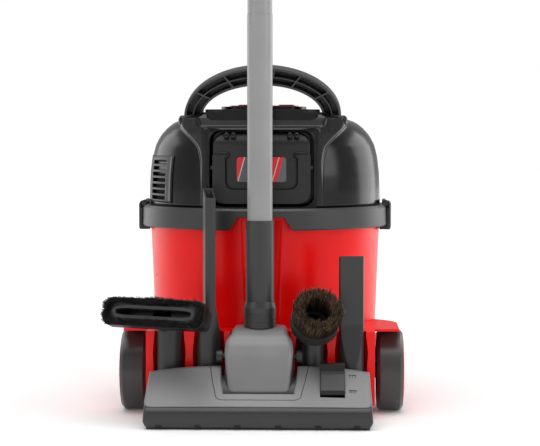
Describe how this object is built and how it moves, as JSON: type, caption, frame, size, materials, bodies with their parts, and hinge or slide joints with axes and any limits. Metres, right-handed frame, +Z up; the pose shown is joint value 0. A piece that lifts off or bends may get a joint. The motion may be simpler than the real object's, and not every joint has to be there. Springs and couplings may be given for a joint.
{
  "type": "shop vacuum",
  "caption": "Compact wheeled tub vacuum with clipped-on motor head, rear battery bay, carrying handle, floor tool and wand section, and hand tools parked in its rear dock.",
  "frame": {"origin": "on the floor, under the middle of the outline of the whole object seen from above", "axes": "+Z up; +Y the way the machine travels, from the tool dock to the hose inlet; +X to the right seen from the dock side"},
  "size_m": [0.3899, 0.466, 0.554],
  "materials": {
    "red": "glossy moulded plastic",
    "black_gloss": "satin-gloss moulded plastic",
    "black_matt": "fine-grained moulded plastic",
    "charcoal": "fine-grained moulded plastic",
    "mid_grey": "satin moulded plastic",
    "tyre": "smooth tyre",
    "tube": "grey satin",
    "steel": "bright",
    "fan": "moulded",
    "board": "lacquered board",
    "cloth": "filter cloth and paper",
    "bristle_black": "nylon bristle",
    "bristle_brown": "mixed hair bristle",
    "lens": "clear"
  },
  "bodies": {
    "base": {"chassis": "red", "tub": "red", "rear_axle": "steel", "inlet_collar": "black_gloss", "bag_collar": "cloth", "dust_bag": "cloth", "filter_ring": "charcoal", "filter_cloth": "cloth"},
    "wheel_left": {"tyre_left": "tyre", "wheel_cap_left": "red"},
    "wheel_right": {"tyre_right": "tyre", "wheel_cap_right": "red"},
    "castor_left": {"castor_fork_left": "black_matt"},
    "castor_right": {"castor_fork_right": "black_matt"},
    "castor_roller_left": {"castor_wheel_left": "tyre"},
    "castor_roller_right": {"castor_wheel_right": "tyre"},
    "head": {"head_shell": "black_gloss", "bumper_band": "charcoal", "motor_plate": "black_matt", "motor_housing": "mid_grey", "motor_stator": "steel", "exhaust_grille": "charcoal", "exhaust_filter": "cloth", "top_plate": "charcoal", "badges": "red", "control_board": "board", "gauge_lens": "lens", "hinge_pins": "steel", "battery_contacts": "steel", "head_screws": "steel"},
    "fan": {"fan_impeller": "fan", "fan_shaft": "steel"},
    "power": {"power_button": "red"},
    "boost": {"boost_button": "mid_grey"},
    "bail_handle": {"handle": "charcoal"},
    "battery": {"battery_case": "black_gloss", "battery_face": "black_gloss", "battery_label": "red"},
    "battery_bail": {"battery_bail": "black_gloss"},
    "latch_left": {"clip_left": "black_matt"},
    "latch_right": {"clip_right": "black_matt"},
    "long_crevice": {"crevice_tool_long": "charcoal"},
    "short_crevice": {"crevice_tool_short": "charcoal"},
    "dusting": {"dusting_brush": "charcoal", "dusting_bristles": "bristle_brown"},
    "nozzle": {"upholstery_nozzle": "charcoal"},
    "slide_brush": {"slide_brush_frame": "black_matt", "slide_brush_bristles": "bristle_black"},
    "knuckle": {"knuckle_hood": "mid_grey", "knuckle_axle": "steel", "park_pin": "mid_grey"},
    "neck": {"neck_collar": "charcoal", "wand_connector": "charcoal"},
    "wand": {"wand_tube": "tube"},
    "floor_head": {"floor_shell": "mid_grey", "floor_bumper": "charcoal", "sole_plate": "black_matt"},
    "rocker": {"pedal": "charcoal"},
    "brushes": {"floor_brushes": "bristle_black"},
    "rollers": {"sole_rollers": "tyre"}
  },
  "joints": [
    {"name": "wheel_left_spin", "type": "hinge", "parent": "base", "child": "wheel_left", "pos_m": [-0.1594, -0.057, 0.053], "axis": [1, 0, 0], "continuous": true},
    {"name": "wheel_right_spin", "type": "hinge", "parent": "base", "child": "wheel_right", "pos_m": [0.1746, -0.057, 0.053], "axis": [1, 0, 0], "continuous": true},
    {"name": "castor_left_swivel", "type": "hinge", "parent": "base", "child": "castor_left", "pos_m": [-0.0764, 0.145, 0.05], "axis": [0, 0, 1], "continuous": true},
    {"name": "castor_right_swivel", "type": "hinge", "parent": "base", "child": "castor_right", "pos_m": [0.0916, 0.145, 0.05], "axis": [0, 0, 1], "continuous": true},
    {"name": "castor_left_roll", "type": "hinge", "parent": "castor_left", "child": "castor_roller_left", "pos_m": [-0.0764, 0.13, 0.019], "axis": [1, 0, 0], "continuous": true},
    {"name": "castor_right_roll", "type": "hinge", "parent": "castor_right", "child": "castor_roller_right", "pos_m": [0.0916, 0.13, 0.019], "axis": [1, 0, 0], "continuous": true},
    {"name": "head_lift", "type": "slide", "parent": "base", "child": "head", "axis": [0, 0, 1], "range_m": [0, 0.12]},
    {"name": "fan_spin", "type": "hinge", "parent": "head", "child": "fan", "pos_m": [0.0076, 0.085, 0.3], "axis": [0, 0, 1], "continuous": true},
    {"name": "power_press", "type": "slide", "parent": "head", "child": "power", "axis": [0, 0, -1], "range_m": [0, 0.003], "stiffness_N_per_m": 600, "springref_m": -0.003},
    {"name": "boost_press", "type": "slide", "parent": "head", "child": "boost", "axis": [0, 0, -1], "range_m": [0, 0.003], "stiffness_N_per_m": 600, "springref_m": -0.003},
    {"name": "handle_fold", "type": "hinge", "parent": "head", "child": "bail_handle", "pos_m": [0.0076, -0.041, 0.38], "axis": [1, 0, 0], "range_deg": [-12, 12]},
    {"name": "battery_pull", "type": "slide", "parent": "head", "child": "battery", "axis": [0, -1, 0], "range_m": [0, 0.024]},
    {"name": "battery_bail_swing", "type": "hinge", "parent": "battery", "child": "battery_bail", "pos_m": [0.0076, -0.0896, 0.319], "axis": [-1, 0, 0], "range_deg": [0, 25]},
    {"name": "latch_left_open", "type": "hinge", "parent": "head", "child": "latch_left", "pos_m": [-0.1558, 0.049, 0.2704], "axis": [0, 1, 0], "range_deg": [0, 80]},
    {"name": "latch_right_open", "type": "hinge", "parent": "head", "child": "latch_right", "pos_m": [0.171, 0.049, 0.2704], "axis": [0, -1, 0], "range_deg": [0, 80]},
    {"name": "long_crevice_lift", "type": "slide", "parent": "base", "child": "long_crevice", "axis": [0, 0, 1], "range_m": [0, 0.08]},
    {"name": "short_crevice_lift", "type": "slide", "parent": "base", "child": "short_crevice", "axis": [0, 0, 1], "range_m": [0, 0.08]},
    {"name": "dusting_lift", "type": "slide", "parent": "base", "child": "dusting", "axis": [0, 0, 1], "range_m": [0, 0.08]},
    {"name": "nozzle_lift", "type": "slide", "parent": "base", "child": "nozzle", "axis": [0, 0, 1], "range_m": [0, 0.08]},
    {"name": "slide_brush_pull", "type": "slide", "parent": "nozzle", "child": "slide_brush", "axis": [-0.3971, -0.8517, 0.342], "range_m": [0, 0.02]},
    {"name": "wand_undock", "type": "slide", "parent": "base", "child": "knuckle", "axis": [0, -1, 0], "range_m": [0, 0.12]},
    {"name": "neck_swivel", "type": "hinge", "parent": "knuckle", "child": "neck", "pos_m": [0.0076, -0.151, 0.12], "axis": [0, 0, 1], "continuous": true},
    {"name": "wand_pull", "type": "slide", "parent": "neck", "child": "wand", "axis": [0, 0, 1], "range_m": [0, 0.04]},
    {"name": "floor_head_tilt", "type": "hinge", "parent": "knuckle", "child": "floor_head", "pos_m": [0.0076, -0.175, 0.026], "axis": [1, 0, 0], "range_deg": [0, 55]},
    {"name": "pedal_rock", "type": "hinge", "parent": "floor_head", "child": "rocker", "pos_m": [0.0996, -0.187, 0.05], "axis": [-1, 0, 0], "range_deg": [0, 8]},
    {"name": "brush_raise", "type": "slide", "parent": "floor_head", "child": "brushes", "axis": [0, 0, 1], "range_m": [0, 0.005]},
    {"name": "roller_spin", "type": "hinge", "parent": "floor_head", "child": "rollers", "pos_m": [0.0076, -0.1725, 0.0044], "axis": [1, 0, 0], "continuous": true}
  ],
  "couplings": [
    {"joint": "brush_raise", "follows": "pedal_rock", "m_per_rad": 0.0355}
  ]
}
